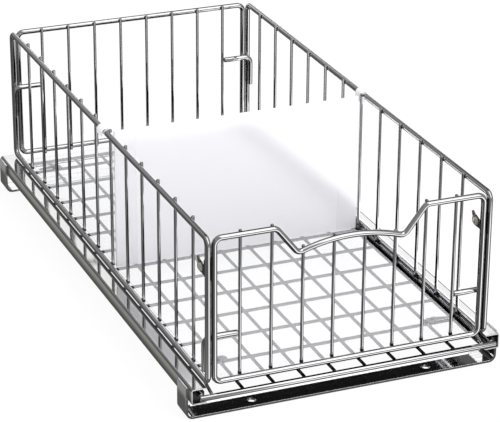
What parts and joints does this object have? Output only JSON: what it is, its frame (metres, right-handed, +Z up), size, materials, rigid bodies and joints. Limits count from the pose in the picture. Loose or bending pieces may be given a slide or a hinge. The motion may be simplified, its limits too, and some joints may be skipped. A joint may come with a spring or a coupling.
{
  "type": "pull out cabinet basket",
  "caption": "Chromed wire basket that pulls out of a cabinet on channel rails, with an arched grip in its front panel, a frosted floor liner and a lift-out divider.",
  "frame": {"origin": "on the shelf plane under the straps, at the middle of the overall width and length", "axes": "+X to the right as seen from the front, +Y into the cabinet, +Z up"},
  "size_m": [0.28, 0.536, 0.163],
  "materials": {
    "chromed_wire": "bright chrome plated steel wire, mirror polished",
    "chromed_sheet": "bright chrome plated steel sheet, mirror polished",
    "frosted_divider": "frosted translucent polypropylene sheet and clips",
    "frosted_liner": "frosted translucent polypropylene liner",
    "acetal": "black moulded acetal, satin",
    "nylon": "natural white moulded nylon",
    "bumper_rubber": "black moulded rubber"
  },
  "bodies": {
    "base": {"left_rail": "chromed_sheet", "right_rail": "chromed_sheet", "front_strap": "chromed_sheet", "rear_strap": "chromed_sheet", "left_glide": "acetal", "right_glide": "acetal", "left_stop": "chromed_sheet", "right_stop": "chromed_sheet", "left_bumper": "bumper_rubber", "right_bumper": "bumper_rubber"},
    "basket": {"front_cross_wire": "chromed_wire", "left_runner": "chromed_wire", "right_runner": "chromed_wire", "rear_axle": "chromed_wire", "floor_cross_wires": "chromed_wire", "floor_long_wires": "chromed_wire", "left_edge_wire": "chromed_wire", "right_edge_wire": "chromed_wire", "left_side_frame": "chromed_wire", "left_side_wires": "chromed_wire", "right_side_frame": "chromed_wire", "right_side_wires": "chromed_wire", "front_frame": "chromed_wire", "front_wires": "chromed_wire", "back_frame": "chromed_wire", "back_wires": "chromed_wire", "front_hooks": "chromed_wire", "back_hooks": "chromed_wire", "left_corner_clip": "chromed_sheet", "right_corner_clip": "chromed_sheet", "floor_liner": "frosted_liner", "liner_studs": "frosted_liner"},
    "left_roller": {"left_roller": "nylon"},
    "right_roller": {"right_roller": "nylon"},
    "divider": {"divider_sheet": "frosted_divider", "left_divider_clip": "frosted_divider", "right_divider_clip": "frosted_divider"}
  },
  "joints": [
    {"name": "basket_slide", "type": "slide", "parent": "base", "child": "basket", "axis": [0, -1, 0], "range_m": [0, 0.38]},
    {"name": "left_roller_spin", "type": "hinge", "parent": "basket", "child": "left_roller", "pos_m": [-0.1343, 0.2505, 0.0236], "axis": [1, 0, 0], "continuous": true},
    {"name": "right_roller_spin", "type": "hinge", "parent": "basket", "child": "right_roller", "pos_m": [0.1343, 0.2505, 0.0236], "axis": [1, 0, 0], "continuous": true},
    {"name": "divider_lift", "type": "slide", "parent": "basket", "child": "divider", "axis": [0, 0, 1], "range_m": [0, 0.14]}
  ],
  "couplings": [
    {"joint": "left_roller_spin", "follows": "basket_slide", "rad_per_m": 178.57},
    {"joint": "right_roller_spin", "follows": "basket_slide", "rad_per_m": 178.57}
  ]
}
